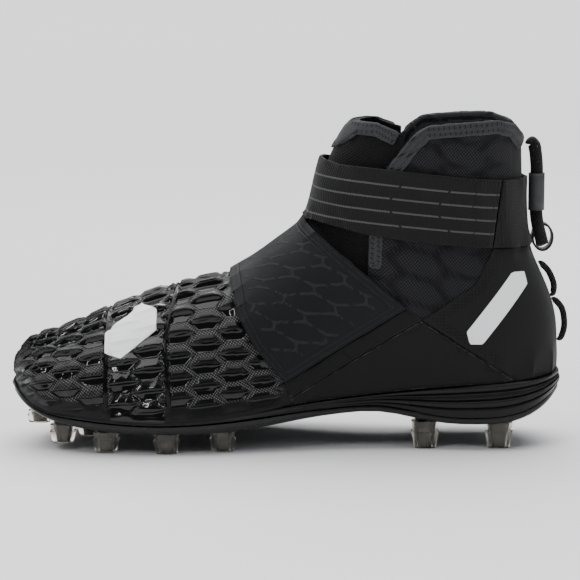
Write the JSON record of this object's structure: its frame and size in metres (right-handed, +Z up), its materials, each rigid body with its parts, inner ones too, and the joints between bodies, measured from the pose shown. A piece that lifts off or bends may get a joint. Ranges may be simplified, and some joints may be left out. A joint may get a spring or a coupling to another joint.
{
  "type": "american football cleat",
  "caption": "High-top studded sports shoe for the right foot, with a moulded scaled forefoot, midfoot strap, ankle strap and heel pull loop.",
  "frame": {"origin": "on the floor, below the middle of the shoe's box", "axes": "+X from toe to heel, +Y toward the outer side of a right foot, +Z up"},
  "size_m": [0.3156, 0.1072, 0.1855],
  "materials": {
    "elastic_webbing": "ribbed",
    "elastic_tape": "knitted",
    "microfibre": "matt",
    "spine_cord": "braided",
    "sockliner": "brushed",
    "coated_strap": "matt coated",
    "foam_black": "satin moulded",
    "smoked_plate": "gloss smoked",
    "braided_rope": "braided",
    "rubber_sleeve": "satin",
    "clear_tip": "clear amber",
    "spacer_mesh": "open mesh",
    "moulded_skin": "gloss scales over knit"
  },
  "bodies": {
    "root": {"ankle_strap": "elastic_webbing", "collar_binding": "elastic_tape", "heel_counter_panel": "microfibre", "heel_strap_tab": "microfibre", "heel_tape_loop": "spine_cord", "insole": "sockliner", "lower_quarter_panel_inner": "microfibre", "lower_quarter_panel_outer": "microfibre", "midfoot_strap": "coated_strap", "midsole": "foam_black", "outsole_plate": "smoked_plate", "pull_loop_rope": "braided_rope", "pull_loop_sleeve": "rubber_sleeve", "spine_cord_lower": "spine_cord", "spine_cord_upper": "spine_cord", "strap_base_band_inner": "microfibre", "strap_base_band_outer": "microfibre", "stud_tip_centre": "clear_tip", "stud_tip_heel_inner_1": "clear_tip", "stud_tip_heel_inner_2": "clear_tip", "stud_tip_heel_outer_1": "clear_tip", "stud_tip_heel_outer_2": "clear_tip", "stud_tip_inner_1": "clear_tip", "stud_tip_inner_2": "clear_tip", "stud_tip_inner_3": "clear_tip", "stud_tip_inner_4": "clear_tip", "stud_tip_outer_1": "clear_tip", "stud_tip_outer_2": "clear_tip", "stud_tip_outer_3": "clear_tip", "stud_tip_outer_4": "clear_tip", "stud_tip_toe": "clear_tip", "tongue": "spacer_mesh", "tongue_binding": "elastic_tape", "upper": "moulded_skin"}
  },
  "joints": []
}
